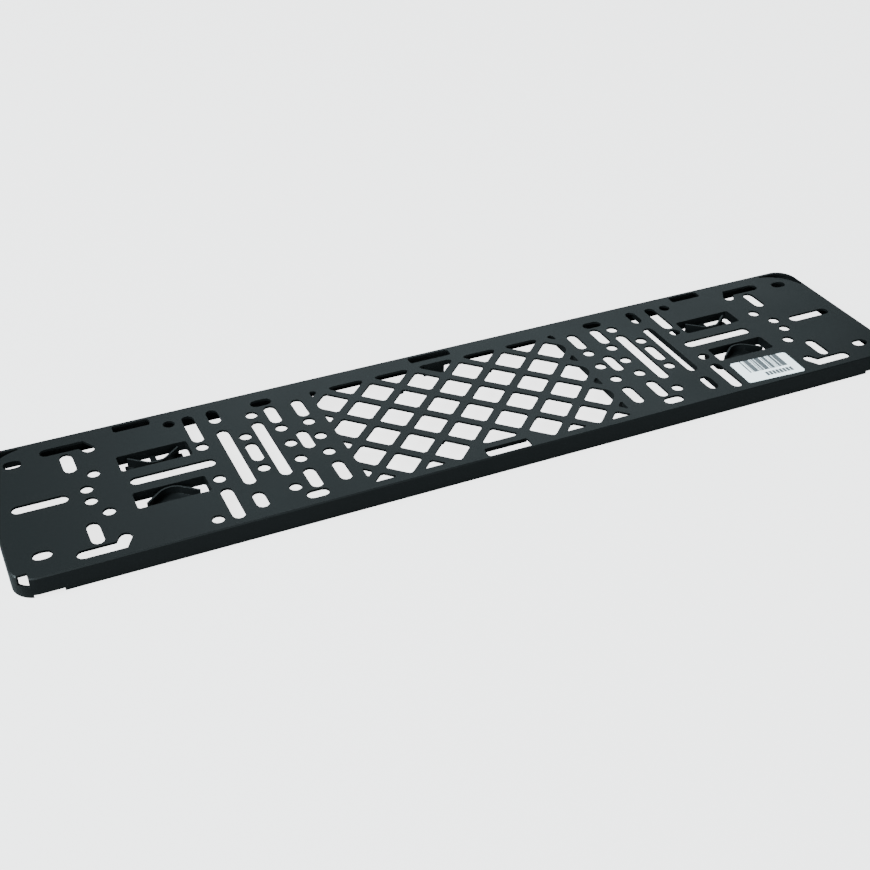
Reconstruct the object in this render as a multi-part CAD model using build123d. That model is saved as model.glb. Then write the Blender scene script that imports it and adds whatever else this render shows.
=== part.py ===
"""Number plate holder: a perforated moulded tray for a long European plate, with a paper label.

Frame: millimetres, +Z up out of the face, X along the plate, Y from the front edge to the rear edge.
The origin is the centre of the underside, so the skirt's lower rim lies in Z = 0.
"""
import os
from math import cos, hypot, radians, sin, tan

from build123d import *

# Tray
LENGTH = 520.0
DEPTH = 113.0
HEIGHT = 11.4
FACE_T = 1.4
WALL_T = 1.4
CORNER_R = 12.0
EDGE_CUT = 0.6

# Holes and slots share one width, that of the screws and ties that they take
HOLE_D = 6.6
HOLE_FACETS = 12
SLOT_END_FACETS = 5
CORNER_SHARE_LIMIT = 0.35

# Lattice of diamond cells in the middle of the face
FIELD_LENGTH = 156.6
FIELD_REAR_INSET = 13.1
FIELD_FRONT_INSET = 5.2
CELL_PITCH_X = 28.16
CELL_PITCH_Y = 27.7
STRUT_W = 4.6
CELL_CORNER = 1.3

# Columns of holes beside the lattice: the first from its edge, each other from the one before
INNER_COLUMN_GAP = 9.8
INNER_MID_HOLE_SHIFT = 1.0
BETWEEN_COLUMN_STEP = 7.5
SECOND_COLUMN_STEP = 15.9
LONG_COLUMN_STEP = 11.0
SHORT_COLUMN_STEP = 9.3
OUTER_LONG_COLUMN_STEP = 10.3
WINDOW_COLUMN_STEP = 13.7
CROSS_SLOT_STEP = 2.4
CROSS_SLOT_LENGTH = 12.2

# Rows of those holes, from the mid line or from the front and rear edges
HOLE_ROW_PITCH = 15.6
MID_SLOT_LENGTH = 17.8
LONG_SLOT_LENGTH = 53.5
END_SLOT_LENGTH = 18.0
END_SLOT_REAR_INSET = 26.4
END_SLOT_FRONT_INSET = 22.3
SINGLE_HOLE_REAR_INSET = 22.4
SINGLE_HOLE_FRONT_INSET = 18.3
SHORT_SLOT_LENGTH = 13.8
SHORT_SLOT_INSET = 15.4
WINDOW_SLOT_LENGTH = 27.0
WINDOW_SLOT_REAR_INSET = 22.4
WINDOW_SLOT_FRONT_INSET = 18.3
EDGE_ROW_REAR_INSET = 12.6
EDGE_ROW_FRONT_INSET = 8.6

# Windows with a collar below the face, and in each a footed spring bow with a floor, on a strap
WINDOW_LENGTH = 38.0
WINDOW_DEPTH = 13.8
WINDOW_GAP = 6.3
WINDOW_ROW_PITCH = 34.7
WINDOW_ROW_SHIFT = 0.6
WINDOW_CORNER = 1.0
COLLAR_T = 1.6
COLLAR_DEPTH = 5.6
BOW_SPAN = 27.2
BOW_ANGLE = 40.0
BOW_R = 9.0
BOW_T = 1.0
BOW_DROP = 0.2
BOW_DEPTH = 6.5
BOW_CLEARANCE = 1.9
BOW_FLOOR_REACH = 7.2
FOOT_LENGTH = 4.0
FOOT_DEPTH = 4.2
FOOT_REACH = 1.8
STRAP_W = 3.0
STRAP_T = 1.2
LONG_CROSS_SLOT_LENGTH = 45.2
LONG_CROSS_SLOT_SHIFT = 5.3
EDGE_HOLE_SHIFT = 14.8

# End groups, measured from the plate's two ends
END_CROSS_SLOT_LENGTH = 28.3
END_CROSS_SLOT_INSET = 23.5
ARC_OUTER_INSET = 47.5
ARC_INNER_INSET = 53.8
ARC_OUTER_SPACING = 10.6
ARC_INNER_SPACING = 34.8
ARC_Y = -2.1
END_COLUMN_INSET = 43.6
END_COLUMN_SPACING = 63.8
OVAL_INSET = 16.8
OVAL_LENGTH = 9.7
OVAL_SPACING = 80.6
HOOK_OUTER_INSET = 34.7
HOOK_INNER_INSET = 53.3
HOOK_LEG = 6.0
HOOK_ANGLE = 60.0

# Slots along the skirt, set off from the rear edge by a narrow land
REAR_LAND = 2.4
EDGE_SLOT_DEPTH = 6.2
EDGE_SLOT_LENGTH = 20.3
EDGE_SLOT_INSET = 82.0
CENTRE_SLOT_LENGTH = 26.0
FRONT_SLOT_DEPTH = 7.2
FRONT_SLOT_BAR = 4.5
EDGE_SLOT_CORNER = 1.0

# Corners: crescents at the rear, openings and lower notches at the front
CRESCENT_END_W = 0.8
CRESCENT_R = 24.0
CRESCENT_ALONG = 22.0
CRESCENT_ACROSS = 21.7
CORNER_CUT_INSET = 2.4
CORNER_CUT_LENGTH = 5.0
CORNER_CUT_ACROSS = 5.8
CORNER_CUT_DROP = 4.8
NOTCH_INSET = 8.5
NOTCH_LENGTH = 14.5
NOTCH_HEIGHT = 1.6

# Underside: depths are measured down from the top of the face
RIB_T = 1.3
RIB_DEPTH = 3.6
FIELD_RIB_DEPTH = 4.5
FRONT_RIB_DEPTH = 2.6
REAR_TAB_LENGTH = 13.0
REAR_TAB_DEPTH = 8.2
PIN_D = 3.4
PIN_DEPTH = 4.4

# Paper label
LABEL_LENGTH = 38.0
LABEL_DEPTH = 22.0
LABEL_T = 0.15
LABEL_CORNER = 1.2
LABEL_INSET = 85.1
LABEL_FRONT_INSET = 15.1
LABEL_TURN = -2.8

# Places that follow from the sizes above
END_X = LENGTH / 2
REAR_Y = DEPTH / 2
FRONT_Y = -DEPTH / 2
FACE_UNDERSIDE = HEIGHT - FACE_T
FIELD_X = FIELD_LENGTH / 2
FIELD_REAR_Y = REAR_Y - FIELD_REAR_INSET
FIELD_FRONT_Y = FRONT_Y + FIELD_FRONT_INSET
INNER_X = FIELD_X + INNER_COLUMN_GAP
BETWEEN_X = INNER_X + BETWEEN_COLUMN_STEP
SECOND_X = INNER_X + SECOND_COLUMN_STEP
LONG_X = SECOND_X + LONG_COLUMN_STEP
SHORT_X = LONG_X + SHORT_COLUMN_STEP
OUTER_LONG_X = SHORT_X + OUTER_LONG_COLUMN_STEP
WINDOW_COLUMN_X = OUTER_LONG_X + WINDOW_COLUMN_STEP
WINDOW_X = WINDOW_COLUMN_X + WINDOW_GAP + WINDOW_LENGTH / 2
WINDOW_REAR_Y = WINDOW_ROW_SHIFT + WINDOW_ROW_PITCH / 2
WINDOW_FRONT_Y = WINDOW_REAR_Y - WINDOW_ROW_PITCH
ARC_OUTER_X = END_X - ARC_OUTER_INSET
ARC_INNER_X = END_X - ARC_INNER_INSET
EDGE_ROWS_Y = (REAR_Y - EDGE_ROW_REAR_INSET, FRONT_Y + EDGE_ROW_FRONT_INSET)
FRONT_SLOT_REAR_Y = FRONT_Y + WALL_T + FRONT_SLOT_DEPTH


def both_sides(shape, x, *rows):
    """Copies a shape to +x and, mirrored, to -x, at each row."""
    placed = [Pos(x, y) * shape for y in rows]
    return placed + [mirror(copy, about=Plane.YZ) for copy in placed]


def light_hole():
    """A round hole of the common width with a few flat facets, for the many that repeat."""
    return RegularPolygon(HOLE_D / 2, HOLE_FACETS)


def slot_end(x, y, heading):
    """Points of the few flat facets round one end of a slot that runs towards the heading."""
    turns = [180 * step / SLOT_END_FACETS - 90 for step in range(SLOT_END_FACETS + 1)]
    angles = [radians(heading + turn) for turn in turns]
    return [(x + HOLE_D / 2 * cos(angle), y + HOLE_D / 2 * sin(angle)) for angle in angles]


def light_slot(length, turn=0.0):
    """A slot of the common width with a few flat facets round each end, along X or turned."""
    reach = (length - HOLE_D) / 2
    return Rot(Z=turn) * make_face(Polyline(*slot_end(reach, 0, 0), *slot_end(-reach, 0, 180), close=True))


def eased(shape, cut):
    """A straight-sided face with each corner cut off flat, limited by the sides that meet there."""
    points = []
    for side in shape.face().outer_wire().order_edges():
        share = min(cut / side.length, CORNER_SHARE_LIMIT)
        points += [side @ share, side @ (1 - share)]
    return make_face(Polyline(*points, close=True))


def outline(inset=0.0):
    """The tray's rounded outline, moved inwards by the inset."""
    return RectangleRounded(LENGTH - 2 * inset, DEPTH - 2 * inset, CORNER_R - inset)


def screw_holes():
    """The true round holes beside the lattice, in which the tray is screwed to the car."""
    hole = Circle(HOLE_D / 2)
    outer_rows = (HOLE_ROW_PITCH, -HOLE_ROW_PITCH)
    single_rows = (REAR_Y - SINGLE_HOLE_REAR_INSET, FRONT_Y + SINGLE_HOLE_FRONT_INSET)
    holes = both_sides(hole, INNER_X - INNER_MID_HOLE_SHIFT, 0)
    holes += both_sides(hole, SECOND_X, 0)
    for x in (INNER_X, SECOND_X, SHORT_X, WINDOW_COLUMN_X):
        holes += both_sides(hole, x, *outer_rows)
    return holes + both_sides(hole, LONG_X, *single_rows)


def outer_holes():
    """The round holes near the long edges and in an arc at each end."""
    holes = both_sides(light_hole(), WINDOW_X - EDGE_HOLE_SHIFT, *EDGE_ROWS_Y)
    for x, spacing in ((ARC_OUTER_X, ARC_OUTER_SPACING), (ARC_INNER_X, ARC_INNER_SPACING)):
        holes += both_sides(light_hole(), x, ARC_Y + spacing / 2, ARC_Y - spacing / 2)
    return holes


def upright_slots():
    """Every slot that runs across the plate, along Y."""
    mid = light_slot(MID_SLOT_LENGTH, 90)
    long = light_slot(LONG_SLOT_LENGTH, 90)
    end = light_slot(END_SLOT_LENGTH, 90)
    short = light_slot(SHORT_SLOT_LENGTH, 90)
    beside_window = light_slot(WINDOW_SLOT_LENGTH, 90)
    end_rows = (REAR_Y - END_SLOT_REAR_INSET, FRONT_Y + END_SLOT_FRONT_INSET)
    short_rows = (REAR_Y - SHORT_SLOT_INSET, FRONT_Y + SHORT_SLOT_INSET)
    window_rows = (REAR_Y - WINDOW_SLOT_REAR_INSET, FRONT_Y + WINDOW_SLOT_FRONT_INSET)
    column_rows = (ARC_Y + END_COLUMN_SPACING / 2, ARC_Y - END_COLUMN_SPACING / 2)
    slots = []
    for x in (BETWEEN_X, SHORT_X):
        slots += both_sides(mid, x, 0)
    for x in (LONG_X, OUTER_LONG_X):
        slots += both_sides(long, x, 0)
    for x in (INNER_X, SECOND_X):
        slots += both_sides(end, x, *end_rows)
    slots += both_sides(short, OUTER_LONG_X, *short_rows)
    slots += both_sides(beside_window, WINDOW_COLUMN_X, *window_rows)
    slots += both_sides(end, END_X - END_COLUMN_INSET, *column_rows)
    return slots


def lengthwise_slots():
    """Every slot that runs along the plate, along X."""
    long_slot = SlotOverall(LONG_CROSS_SLOT_LENGTH, HOLE_D)
    end_slot = SlotOverall(END_CROSS_SLOT_LENGTH, HOLE_D)
    slots = both_sides(long_slot, WINDOW_X - LONG_CROSS_SLOT_SHIFT, 0)
    slots += both_sides(end_slot, END_X - END_CROSS_SLOT_INSET, 0)
    slots += both_sides(light_slot(CROSS_SLOT_LENGTH), SECOND_X + CROSS_SLOT_STEP, *EDGE_ROWS_Y)
    oval_rows = (OVAL_SPACING / 2, -OVAL_SPACING / 2)
    return slots + both_sides(light_slot(OVAL_LENGTH), END_X - OVAL_INSET, *oval_rows)


def hooked_slots():
    """The four slots whose inner end turns, with sharp corners, towards the middle of the plate."""
    bend_x = END_X - HOOK_INNER_INSET
    mitre = HOLE_D / 2 * tan(radians(HOOK_ANGLE / 2))
    tip_x = bend_x - HOOK_LEG * cos(radians(HOOK_ANGLE))
    tip_y = HOOK_LEG * sin(radians(HOOK_ANGLE))
    points = slot_end(END_X - HOOK_OUTER_INSET, 0, 0) + [(bend_x + mitre, HOLE_D / 2)]
    points += slot_end(tip_x, tip_y, 180 - HOOK_ANGLE) + [(bend_x - mitre, -HOLE_D / 2)]
    hook = make_face(Polyline(*points, close=True))
    rear_y, front_y = EDGE_ROWS_Y
    return both_sides(mirror(hook, about=Plane.XZ), 0, rear_y) + both_sides(hook, 0, front_y)


def lattice_cells():
    """Diamond cells on a staggered grid, cut by the field's edges and kept clear of the front slot."""
    half_x = CELL_PITCH_X / 2
    half_y = CELL_PITCH_Y / 2
    side_distance = half_x * half_y / hypot(half_x, half_y)
    opening = 1 - STRUT_W / 2 / side_distance
    cell_x = half_x * opening
    cell_y = half_y * opening
    diamond = make_face(Polyline((cell_x, 0), (0, cell_y), (-cell_x, 0), (0, -cell_y), close=True))
    field_depth = FIELD_REAR_Y - FIELD_FRONT_Y
    field = Pos(0, FIELD_FRONT_Y + field_depth / 2) * Rectangle(FIELD_LENGTH, field_depth)
    bar_y = FRONT_SLOT_REAR_Y + FRONT_SLOT_BAR
    field -= Pos(0, bar_y) * Rectangle(CENTRE_SLOT_LENGTH, DEPTH, align=(Align.CENTER, Align.MAX))
    rows = range(int(FIELD_FRONT_Y / half_y) - 1, int(FIELD_REAR_Y / half_y) + 2)
    columns = range(-int(FIELD_X / half_x) - 1, int(FIELD_X / half_x) + 2)
    cells = []
    for row in rows:
        for column in columns:
            x = column * half_x
            y = row * half_y
            beside_front_slot = y < FIELD_FRONT_Y and abs(x) < CENTRE_SLOT_LENGTH / 2 + cell_x
            if (row + column) % 2 == 0 or beside_front_slot:
                continue
            for piece in (Pos(x, y) * diamond & field).faces():
                cells.append(eased(piece, CELL_CORNER))
    return cells


def edge_slots():
    """Slots that run along the skirt, at the rear edge and in the middle of the front."""
    rear_y = REAR_Y - REAR_LAND - EDGE_SLOT_DEPTH / 2
    front_y = FRONT_SLOT_REAR_Y - FRONT_SLOT_DEPTH / 2
    side = eased(Rectangle(EDGE_SLOT_LENGTH, EDGE_SLOT_DEPTH), EDGE_SLOT_CORNER)
    rear_centre = eased(Rectangle(CENTRE_SLOT_LENGTH, EDGE_SLOT_DEPTH), EDGE_SLOT_CORNER)
    front_centre = eased(Rectangle(CENTRE_SLOT_LENGTH, FRONT_SLOT_DEPTH), EDGE_SLOT_CORNER)
    slots = both_sides(side, END_X - EDGE_SLOT_INSET, rear_y)
    return slots + [Pos(0, rear_y) * rear_centre, Pos(0, front_y) * front_centre]


def rear_crescents():
    """Curved slots along the skirt, widest in the two rear corners."""
    length = LENGTH - 2 * WALL_T
    depth = DEPTH - 2 * REAR_LAND
    band = RectangleRounded(length, depth, CORNER_R - WALL_T)
    band -= RectangleRounded(length - 2 * CRESCENT_END_W, depth - 2 * CRESCENT_END_W, CRESCENT_R)
    corner = Pos(END_X - CRESCENT_ALONG / 2, REAR_Y - CRESCENT_ACROSS / 2)
    crescent = band & (corner * Rectangle(CRESCENT_ALONG, CRESCENT_ACROSS))
    return both_sides(crescent, 0, 0)


def window(margin=0.0):
    """The opening of one window, about its own centre, or a larger outline round it."""
    plan = Rectangle(WINDOW_LENGTH + 2 * margin, WINDOW_DEPTH + 2 * margin)
    return eased(plan, WINDOW_CORNER + margin / 2)


def window_fittings():
    """Collar, footed spring bow and strap of one window, about its centre; the bow bulges towards -Y."""
    collar = extrude(window(COLLAR_T) - window(), COLLAR_DEPTH - FACE_T)

    half_span = BOW_SPAN / 2
    apex_y = -WINDOW_DEPTH / 2 + BOW_CLEARANCE
    corner_y = apex_y - BOW_R * (1 / cos(radians(BOW_ANGLE)) - 1)
    end_y = corner_y + half_span * sin(radians(BOW_ANGLE)) / cos(radians(BOW_ANGLE))
    bow_line = FilletPolyline((-half_span, end_y), (0, corner_y), (half_span, end_y), radius=BOW_R)
    bow = extrude(trace(bow_line, BOW_T), BOW_DEPTH - BOW_DROP)
    foot = Box(FOOT_LENGTH, FOOT_DEPTH, STRAP_T, align=(Align.MAX, Align.MAX, Align.MIN))
    bow += both_sides(foot, half_span + FOOT_REACH, end_y + BOW_T / 2)
    bow = Pos(Z=COLLAR_DEPTH - BOW_DEPTH) * bow

    from_apex = (Align.CENTER, Align.MIN)
    inside_bow = make_face(bow_line + Line(bow_line @ 1, bow_line @ 0))
    floor_plan = inside_bow & Pos(0, apex_y) * Rectangle(BOW_SPAN, BOW_FLOOR_REACH, align=from_apex)
    strap_length = WINDOW_DEPTH / 2 + COLLAR_T / 2 - apex_y
    strap_plan = Pos(0, apex_y) * Rectangle(STRAP_W, strap_length, align=from_apex)
    strap = extrude(floor_plan + strap_plan, STRAP_T)
    return Pos(Z=HEIGHT - COLLAR_DEPTH) * (collar + bow + strap)


def windows():
    """Cut-outs of the four windows."""
    return both_sides(window(), WINDOW_X, WINDOW_REAR_Y, WINDOW_FRONT_Y)


def underside():
    """What stands below the face: window fittings, ribs, a tab, and pins under nodes of the lattice."""
    rear = window_fittings()
    front = mirror(rear, about=Plane.XZ)
    pieces = both_sides(rear, WINDOW_X, WINDOW_REAR_Y)
    pieces += both_sides(front, WINDOW_X, WINDOW_FRONT_Y)

    below_face = Pos(Z=FACE_UNDERSIDE)
    for x, depth in ((FIELD_X, FIELD_RIB_DEPTH), (OUTER_LONG_X + HOLE_D / 2, RIB_DEPTH)):
        rib = Box(RIB_T, DEPTH - WALL_T, depth - FACE_T, align=(Align.MIN, Align.CENTER, Align.MAX))
        pieces += both_sides(below_face * rib, x, 0)
    hanging = (Align.CENTER, Align.MIN, Align.MAX)
    front_rib = Box(CENTRE_SLOT_LENGTH, RIB_T, FRONT_RIB_DEPTH - FACE_T, align=hanging)
    pieces.append(Pos(0, FRONT_SLOT_REAR_Y) * below_face * front_rib)
    rear_tab = Box(REAR_TAB_LENGTH, RIB_T, REAR_TAB_DEPTH - FACE_T, align=hanging)
    pieces.append(Pos(0, FIELD_REAR_Y) * below_face * rear_tab)

    pin = extrude(RegularPolygon(PIN_D / 2, HOLE_FACETS), FACE_T - PIN_DEPTH)
    pieces += both_sides(below_face * pin, CELL_PITCH_X, CELL_PITCH_Y, -CELL_PITCH_Y)
    return pieces


def front_corner_cuts():
    """Openings through the front corners' face and upper skirt, and shallow notches in the lower rim."""
    opening = Box(
        CORNER_CUT_LENGTH, CORNER_CUT_ACROSS, CORNER_CUT_DROP, align=(Align.MAX, Align.MIN, Align.MAX))
    notch = Box(NOTCH_LENGTH, CORNER_R, NOTCH_HEIGHT, align=(Align.MAX, Align.CENTER, Align.MIN))
    cuts = both_sides(Pos(Z=HEIGHT) * opening, END_X - CORNER_CUT_INSET, FRONT_Y)
    return cuts + both_sides(notch, END_X - NOTCH_INSET, FRONT_Y)


def make_holder():
    """The whole moulding as one solid."""
    openings = (
        screw_holes() + outer_holes() + upright_slots() + lengthwise_slots() + hooked_slots()
        + lattice_cells() + edge_slots() + rear_crescents() + windows())
    skirt = extrude(outline() - outline(WALL_T), FACE_UNDERSIDE)
    face = Pos(Z=FACE_UNDERSIDE) * extrude(outline() - openings, FACE_T)
    tray = skirt + face
    top_rim = tray.faces().sort_by(Axis.Z)[-1].outer_wire().edges()
    tray = chamfer(top_rim, EDGE_CUT)
    return tray + underside() - front_corner_cuts()


def make_label():
    """The paper label, flat on the face."""
    place = Pos(END_X - LABEL_INSET, FRONT_Y + LABEL_FRONT_INSET, HEIGHT) * Rot(Z=LABEL_TURN)
    return place * extrude(eased(Rectangle(LABEL_LENGTH, LABEL_DEPTH), LABEL_CORNER), LABEL_T)


os.makedirs("parts", exist_ok=True)
export_step(make_holder(), "parts/holder.step")
export_step(make_label(), "parts/barcode_label.step")
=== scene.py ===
"""Looks of a number plate holder: satin black moulded plastic with a paper label, on a pale floor.

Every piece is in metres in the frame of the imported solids: +X along the plate, +Y from the front edge to
the rear edge, +Z out of the face.
"""

import logging
from dataclasses import dataclass
from enum import Enum
from math import radians
from typing import Any

import bmesh
import bpy
from mathutils import Matrix, Vector


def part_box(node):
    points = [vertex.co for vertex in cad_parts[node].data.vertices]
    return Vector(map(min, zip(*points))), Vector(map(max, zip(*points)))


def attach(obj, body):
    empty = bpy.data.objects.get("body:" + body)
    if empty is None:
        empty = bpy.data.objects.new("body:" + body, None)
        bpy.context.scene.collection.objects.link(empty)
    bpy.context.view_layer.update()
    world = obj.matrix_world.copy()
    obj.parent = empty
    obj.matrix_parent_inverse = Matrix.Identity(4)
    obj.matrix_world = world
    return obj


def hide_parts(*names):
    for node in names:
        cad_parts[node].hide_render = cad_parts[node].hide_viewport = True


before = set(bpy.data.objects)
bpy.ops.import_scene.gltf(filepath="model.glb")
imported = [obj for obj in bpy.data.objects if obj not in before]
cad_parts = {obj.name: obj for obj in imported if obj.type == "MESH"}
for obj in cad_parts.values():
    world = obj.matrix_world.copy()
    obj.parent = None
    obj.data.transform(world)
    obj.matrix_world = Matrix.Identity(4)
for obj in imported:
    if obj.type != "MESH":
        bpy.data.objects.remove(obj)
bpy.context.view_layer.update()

MM = 0.001
BODY = "root"
GRAIN_DETAIL = 2.0
PATCH_DETAIL = 3.0
LOG = logging.getLogger("number_plate_holder")

Colour = tuple[float, float, float]
Place = tuple[float, float, float]
Pair = tuple[float, float]
WHITE: Colour = (1.0, 1.0, 1.0)


class Node(Enum):
    """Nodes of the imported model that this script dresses."""

    HOLDER = "holder"
    LABEL = "barcode_label"


class NodeSheet:
    """A shader node tree with short calls that add nodes and link their sockets."""

    def __init__(self, tree: bpy.types.NodeTree) -> None:
        """Keeps the tree that the calls add to.

        Args:
            tree: The node tree of a material, of the world or of a node group.
        """
        self.tree = tree

    def add(self, kind: str, **settings: Any) -> bpy.types.Node:
        """Adds one node and sets its own properties.

        Args:
            kind: The node's type name in Blender.
            settings: Properties of the node, such as operation.

        Returns:
            The new node.
        """
        node = self.tree.nodes.new(kind)
        for name, value in settings.items():
            setattr(node, name, value)
        return node

    def feed(self, value: Any, socket: bpy.types.NodeSocket) -> None:
        """Links a socket to an input, or sets the input where the value is a plain number or colour.

        Args:
            value: An output socket, a number or a tuple.
            socket: The input that takes it.
        """
        if isinstance(value, bpy.types.NodeSocket):
            self.tree.links.new(value, socket)
        else:
            socket.default_value = value

    def math(self, operation: str, *values: Any) -> bpy.types.NodeSocket:
        """Adds a Math node.

        Args:
            operation: The operation's name in Blender.
            values: Its inputs, as sockets or numbers.

        Returns:
            The node's result.
        """
        node = self.add("ShaderNodeMath", operation=operation)
        for value, socket in zip(values, node.inputs):
            self.feed(value, socket)
        return node.outputs["Value"]

    def mix(self, factor: Any, first: Any, second: Any) -> bpy.types.NodeSocket:
        """Mixes two colours.

        Args:
            factor: Share of the second colour, from 0 to 1.
            first: Colour at 0.
            second: Colour at 1.

        Returns:
            The mixed colour.
        """
        node = self.add("ShaderNodeMix", data_type="RGBA")
        for value, name in ((factor, "Factor_Float"), (first, "A_Color"), (second, "B_Color")):
            socket = next(item for item in node.inputs if item.identifier == name)
            self.feed(value, socket)
        return next(item for item in node.outputs if item.identifier == "Result_Color")

    def spread(self, value: Any, start: float, end: float) -> bpy.types.NodeSocket:
        """Maps a value from 0 to 1 onto a range.

        Args:
            value: The value to map.
            start: Result at 0.
            end: Result at 1.

        Returns:
            The mapped value.
        """
        node = self.add("ShaderNodeMapRange")
        self.feed(value, node.inputs["Value"])
        node.inputs["To Min"].default_value = start
        node.inputs["To Max"].default_value = end
        return node.outputs["Result"]

    def inside(self, value: Any, limits: Pair) -> bpy.types.NodeSocket:
        """Draws a mask that is 1 where a value lies between two limits.

        Args:
            value: The value to test.
            limits: Lower and upper limit.

        Returns:
            The mask, 0 or 1.
        """
        low, high = limits
        above = self.math("GREATER_THAN", value, low)
        below = self.math("LESS_THAN", value, high)
        return self.math("MULTIPLY", above, below)


def opaque(colour: Colour) -> tuple[float, float, float, float]:
    """The colour with full alpha, as a colour socket takes it."""
    return (*colour, 1.0)


def start_material(name: str) -> tuple[bpy.types.Material, NodeSheet, bpy.types.Node]:
    """Starts a material that has only its shader.

    Args:
        name: Name of the material.

    Returns:
        The material, its node sheet and its shader.
    """
    material = bpy.data.materials.new(name)
    material.use_nodes = True
    return material, NodeSheet(material.node_tree), material.node_tree.nodes["Principled BSDF"]


def surface_grain_group() -> bpy.types.NodeTree:
    """Builds the shared group for fine grain and slow mottling of a surface.

    The height is a fine noise of the given grain size, and the mottle a slow noise of the given patch
    size, both from 0 to 1 over Object coordinates.

    Returns:
        The node group, with inputs Grain Size and Patch Size in metres and outputs Height and Mottle.
    """
    group = bpy.data.node_groups.new("surface_grain", "ShaderNodeTree")
    for name in ("Grain Size", "Patch Size"):
        group.interface.new_socket(name, in_out="INPUT", socket_type="NodeSocketFloat")
    for name in ("Height", "Mottle"):
        group.interface.new_socket(name, in_out="OUTPUT", socket_type="NodeSocketFloat")
    sheet = NodeSheet(group)
    start = sheet.add("NodeGroupInput")
    end = sheet.add("NodeGroupOutput")
    place = sheet.add("ShaderNodeTexCoord").outputs["Object"]
    noises = (("Grain Size", GRAIN_DETAIL, "Height"), ("Patch Size", PATCH_DETAIL, "Mottle"))
    for size, detail, result in noises:
        noise = sheet.add("ShaderNodeTexNoise")
        sheet.feed(place, noise.inputs["Vector"])
        sheet.feed(sheet.math("DIVIDE", 1.0, start.outputs[size]), noise.inputs["Scale"])
        noise.inputs["Detail"].default_value = detail
        sheet.feed(noise.outputs["Fac"], end.inputs[result])
    return group


@dataclass(frozen=True)
class Grain:
    """Values of the shared group on one surface, with the roughness where the mottle is 0 and 1."""

    size: float
    height: float
    strength: float
    patch_size: float
    roughness: Pair

    def lay(
        self, sheet: NodeSheet, shader: bpy.types.Node, group: bpy.types.NodeTree
    ) -> bpy.types.NodeSocket:
        """Gives a shader the fine grain, and a roughness that follows the mottle.

        Args:
            sheet: The material's node sheet.
            shader: The material's shader.
            group: The shared group for grain and mottling.

        Returns:
            The mottle, from 0 to 1.
        """
        surface = sheet.add("ShaderNodeGroup", node_tree=group)
        surface.inputs["Grain Size"].default_value = self.size
        surface.inputs["Patch Size"].default_value = self.patch_size
        mottle = surface.outputs["Mottle"]
        sheet.feed(sheet.spread(mottle, *self.roughness), shader.inputs["Roughness"])
        bump = sheet.add("ShaderNodeBump")
        bump.inputs["Strength"].default_value = self.strength
        bump.inputs["Distance"].default_value = self.height
        sheet.feed(surface.outputs["Height"], bump.inputs["Height"])
        sheet.feed(bump.outputs["Normal"], shader.inputs["Normal"])
        return mottle


@dataclass(frozen=True)
class PlasticFinish:
    """Satin black moulded plastic with a fine grain and slow changes of tone."""

    deep: Colour = (0.0006, 0.0008, 0.0009)
    light: Colour = (0.0012, 0.0016, 0.0017)
    specular: float = 0.2
    grain: Grain = Grain(
        size=0.55 * MM, height=0.02 * MM, strength=0.55, patch_size=70 * MM, roughness=(0.54, 0.42)
    )

    def material(self, group: bpy.types.NodeTree) -> bpy.types.Material:
        """Builds the material.

        Args:
            group: The shared group for grain and mottling.

        Returns:
            The plastic's material.
        """
        material, sheet, shader = start_material("satin_black_plastic")
        shader.inputs["Specular IOR Level"].default_value = self.specular
        mottle = self.grain.lay(sheet, shader, group)
        tone = sheet.mix(mottle, opaque(self.deep), opaque(self.light))
        sheet.feed(tone, shader.inputs["Base Color"])
        return material


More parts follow.
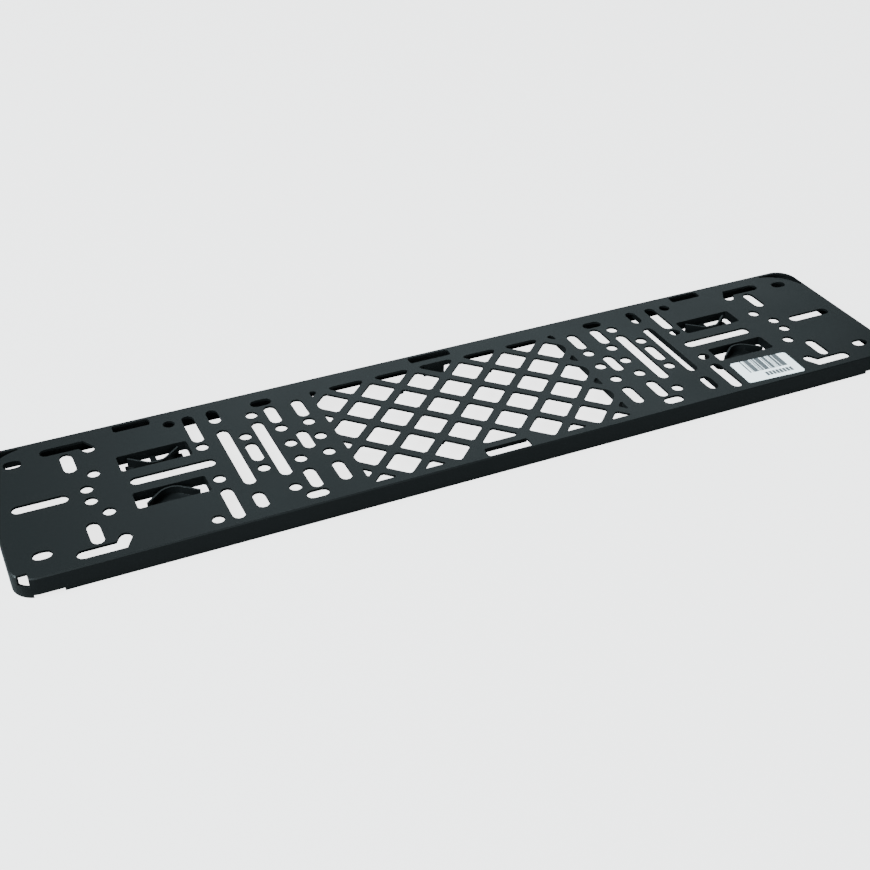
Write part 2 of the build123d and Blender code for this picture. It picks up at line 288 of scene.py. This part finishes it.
@dataclass(frozen=True)
class PaperFinish:
    """Smooth white paper with a block of plain dark bars and a row of small blocks below it.

    The print's limits are shares of the label's length and depth, from its centre.
    """

    length: float = 38 * MM
    depth: float = 22 * MM
    turn: float = radians(-2.8)
    paper: Colour = (0.86, 0.87, 0.88)
    shade: Colour = (0.80, 0.81, 0.82)
    ink: Colour = (0.05, 0.052, 0.056)
    grain: Grain = Grain(
        size=0.4 * MM, height=0.01 * MM, strength=0.3, patch_size=14 * MM, roughness=(0.38, 0.5)
    )
    bar_step: float = 0.36 * MM
    bar_share: float = 0.72
    bars_along: Pair = (-0.33, 0.34)
    bars_across: Pair = (-0.08, 0.5)
    block_step: float = 2.3 * MM
    block_share: float = 0.78
    blocks_along: Pair = (-0.13, 0.35)
    blocks_across: Pair = (-0.36, -0.18)

    def print_mask(self, sheet: NodeSheet, centre: Vector) -> bpy.types.NodeSocket:
        """Draws the print as a mask that is 1 under ink.

        A bar stands where a random number for its step along the label is under the bars' share, and a
        block fills a fixed share of each of its steps.

        Args:
            sheet: The material's node sheet.
            centre: Centre of the label.

        Returns:
            The mask.
        """
        place = sheet.add("ShaderNodeTexCoord").outputs["Object"]
        local = sheet.add("ShaderNodeMapping", vector_type="TEXTURE")
        sheet.feed(place, local.inputs["Vector"])
        local.inputs["Location"].default_value = centre
        local.inputs["Rotation"].default_value = (0.0, 0.0, self.turn)
        local.inputs["Scale"].default_value = (self.length, self.depth, 1.0)
        axes = sheet.add("ShaderNodeSeparateXYZ")
        sheet.feed(local.outputs["Vector"], axes.inputs["Vector"])
        along, across = axes.outputs["X"], axes.outputs["Y"]

        step = sheet.math("FLOOR", sheet.math("MULTIPLY", along, self.length / self.bar_step))
        dice = sheet.add("ShaderNodeTexWhiteNoise", noise_dimensions="1D")
        sheet.feed(step, dice.inputs["W"])
        bars = sheet.math("LESS_THAN", dice.outputs["Value"], self.bar_share)
        for value, limits in ((along, self.bars_along), (across, self.bars_across)):
            bars = sheet.math("MULTIPLY", bars, sheet.inside(value, limits))

        step = sheet.math("FRACT", sheet.math("MULTIPLY", along, self.length / self.block_step))
        blocks = sheet.math("LESS_THAN", step, self.block_share)
        for value, limits in ((along, self.blocks_along), (across, self.blocks_across)):
            blocks = sheet.math("MULTIPLY", blocks, sheet.inside(value, limits))
        return sheet.math("MAXIMUM", bars, blocks)

    def material(self, group: bpy.types.NodeTree, centre: Vector) -> bpy.types.Material:
        """Builds the material.

        Args:
            group: The shared group for grain and mottling.
            centre: Centre of the label, on which the print is placed.

        Returns:
            The paper's material.
        """
        material, sheet, shader = start_material("printed_label_paper")
        mottle = self.grain.lay(sheet, shader, group)
        paper = sheet.mix(mottle, opaque(self.shade), opaque(self.paper))
        tone = sheet.mix(self.print_mask(sheet, centre), paper, opaque(self.ink))
        sheet.feed(tone, shader.inputs["Base Color"])
        return material


@dataclass(frozen=True)
class FloorFinish:
    """Pale floor that the camera sees as a bright lit table, and that lights the tray only a little."""

    tone: Colour = (0.14, 0.14, 0.14)
    roughness: float = 0.9
    glow: float = 3.0

    def material(self) -> bpy.types.Material:
        """Builds the material.

        Returns:
            The floor's material.
        """
        material, sheet, shader = start_material("pale_floor")
        shader.inputs["Base Color"].default_value = opaque(self.tone)
        shader.inputs["Roughness"].default_value = self.roughness
        shader.inputs["Emission Color"].default_value = opaque(WHITE)
        seen = sheet.add("ShaderNodeLightPath").outputs["Is Camera Ray"]
        sheet.feed(sheet.math("MULTIPLY", seen, self.glow), shader.inputs["Emission Strength"])
        return material


@dataclass
class MouldedHolder:
    """The moulded tray: its packed form with softly broken edges."""

    finish: PlasticFinish
    merge_distance: float = 0.001 * MM
    flat_angle: float = radians(1)
    smooth_angle: float = radians(35)
    edge_angle: float = radians(38)
    edge_width: float = 0.22 * MM
    edge_segments: int = 2

    def build(self) -> bpy.types.Object:
        """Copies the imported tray, merges its triangles and breaks its sharp edges.

        Returns:
            The new object, which replaces the tray's node.
        """
        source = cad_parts[Node.HOLDER.value]
        work = bmesh.new()
        work.from_mesh(source.data)
        bmesh.ops.remove_doubles(work, verts=work.verts, dist=self.merge_distance)
        bmesh.ops.dissolve_limit(work, angle_limit=self.flat_angle, verts=work.verts, edges=work.edges)
        mesh = bpy.data.meshes.new("moulded_holder")
        work.to_mesh(mesh)
        work.free()
        mesh.shade_smooth()
        mesh.set_sharp_from_angle(angle=self.smooth_angle)
        piece = bpy.data.objects.new("moulded_holder", mesh)
        bpy.context.scene.collection.objects.link(piece)
        edges = piece.modifiers.new("broken_edges", "BEVEL")
        edges.width = self.edge_width
        edges.segments = self.edge_segments
        edges.limit_method = "ANGLE"
        edges.angle_limit = self.edge_angle
        edges.harden_normals = True
        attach(piece, BODY)
        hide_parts(Node.HOLDER.value)
        return piece

    def dress(self, piece: bpy.types.Object, group: bpy.types.NodeTree) -> None:
        """Gives the tray its plastic.

        Args:
            piece: The tray.
            group: The shared group for grain and mottling.
        """
        piece.data.materials.clear()
        piece.data.materials.append(self.finish.material(group))


@dataclass
class PaperLabel:
    """The stuck-on paper label, which keeps its packed form."""

    finish: PaperFinish

    def dress(self, group: bpy.types.NodeTree) -> bpy.types.Object:
        """Gives the label its printed paper.

        Args:
            group: The shared group for grain and mottling.

        Returns:
            The label's object.
        """
        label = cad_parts[Node.LABEL.value]
        low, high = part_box(Node.LABEL.value)
        label.data.materials.clear()
        label.data.materials.append(self.finish.material(group, (low + high) / 2))
        return label


@dataclass(frozen=True)
class SoftLamp:
    """A soft rectangular lamp that faces the tray: its place, its width and height, and its watts."""

    name: str
    place: Place
    size: Pair
    power: float

    def hang(self, tint: Colour) -> None:
        """Hangs the lamp.

        Args:
            tint: Colour of its light.
        """
        data = bpy.data.lights.new(self.name, "AREA")
        data.shape = "RECTANGLE"
        data.size, data.size_y = self.size
        data.energy = self.power
        data.color = tint
        lamp = bpy.data.objects.new(self.name, data)
        lamp.location = self.place
        lamp.rotation_euler = (-Vector(self.place)).to_track_quat("-Z", "Y").to_euler()
        bpy.context.scene.collection.objects.link(lamp)


@dataclass
class Studio:
    """Pale floor, soft light and the photograph's camera, whose place and aim are in millimetres."""

    floor_finish: FloorFinish
    floor_half: float = 8.0
    floor_drop: float = 0.2 * MM
    light_tint: Colour = (0.78, 0.95, 1.0)
    sky_strength: float = 0.3
    lamps: tuple[SoftLamp, ...] = (
        SoftLamp("rear_panel", place=(0.66, 1.4, 1.02), size=(1.42, 0.8), power=9.8),
        SoftLamp("front_lamp", place=(-0.05, -1.7, 0.6), size=(1.4, 0.6), power=28.0),
        SoftLamp("side_lamp", place=(-1.45, -0.1, 1.55), size=(1.3, 1.3), power=240.0),
    )
    camera_place: Place = (-278.98, -562.28, 416.01)
    camera_aim: Place = (-30.92, -25.14, 11.4)
    camera_roll: float = radians(0.29)
    camera_near: float = 1 * MM
    lens: float = 55.03
    sensor: float = 36.0

    def lay_floor(self) -> None:
        """Lays one large square just under the tray's rim."""
        half = self.floor_half
        level = -self.floor_drop
        corners = [(-half, -half, level), (half, -half, level), (half, half, level), (-half, half, level)]
        mesh = bpy.data.meshes.new("floor")
        mesh.from_pydata(corners, [], [(0, 1, 2, 3)])
        mesh.materials.append(self.floor_finish.material())
        floor = bpy.data.objects.new("floor", mesh)
        bpy.context.scene.collection.objects.link(floor)

    def light(self) -> None:
        """Sets a dim even sky that the camera sees as white, and hangs the lamps."""
        world = bpy.data.worlds.new("studio")
        world.use_nodes = True
        sheet = NodeSheet(world.node_tree)
        background = world.node_tree.nodes["Background"]
        seen = sheet.add("ShaderNodeLightPath").outputs["Is Camera Ray"]
        colour = sheet.mix(seen, opaque(self.light_tint), opaque(WHITE))
        sheet.feed(colour, background.inputs["Color"])
        strength = sheet.spread(seen, self.sky_strength, self.floor_finish.glow)
        sheet.feed(strength, background.inputs["Strength"])
        bpy.context.scene.world = world
        for lamp in self.lamps:
            lamp.hang(self.light_tint)

    def set_camera(self) -> None:
        """Sets the camera at the photograph's place, with its small roll about the line of sight."""
        place = Vector(self.camera_place) * MM
        sight = Vector(self.camera_aim) * MM - place
        turn = sight.to_track_quat("-Z", "Y").to_matrix() @ Matrix.Rotation(self.camera_roll, 3, "Z")
        data = bpy.data.cameras.new("camera")
        data.lens = self.lens
        data.sensor_width = self.sensor
        data.clip_start = self.camera_near
        camera = bpy.data.objects.new("camera", data)
        camera.matrix_world = Matrix.Translation(place) @ turn.to_4x4()
        bpy.context.scene.collection.objects.link(camera)
        bpy.context.scene.camera = camera


def main() -> None:
    """Builds the pieces in order and reports each one."""
    logging.basicConfig(level=logging.INFO, format="%(name)s: %(message)s")
    group = surface_grain_group()
    holder = MouldedHolder(PlasticFinish())
    tray = holder.build()
    holder.dress(tray, group)
    LOG.info("tray %s with %d faces", tray.name, len(tray.data.polygons))
    label = PaperLabel(PaperFinish()).dress(group)
    LOG.info("label %s", label.name)
    studio = Studio(FloorFinish())
    studio.lay_floor()
    studio.light()
    studio.set_camera()


if __name__ == "__main__":
    main()
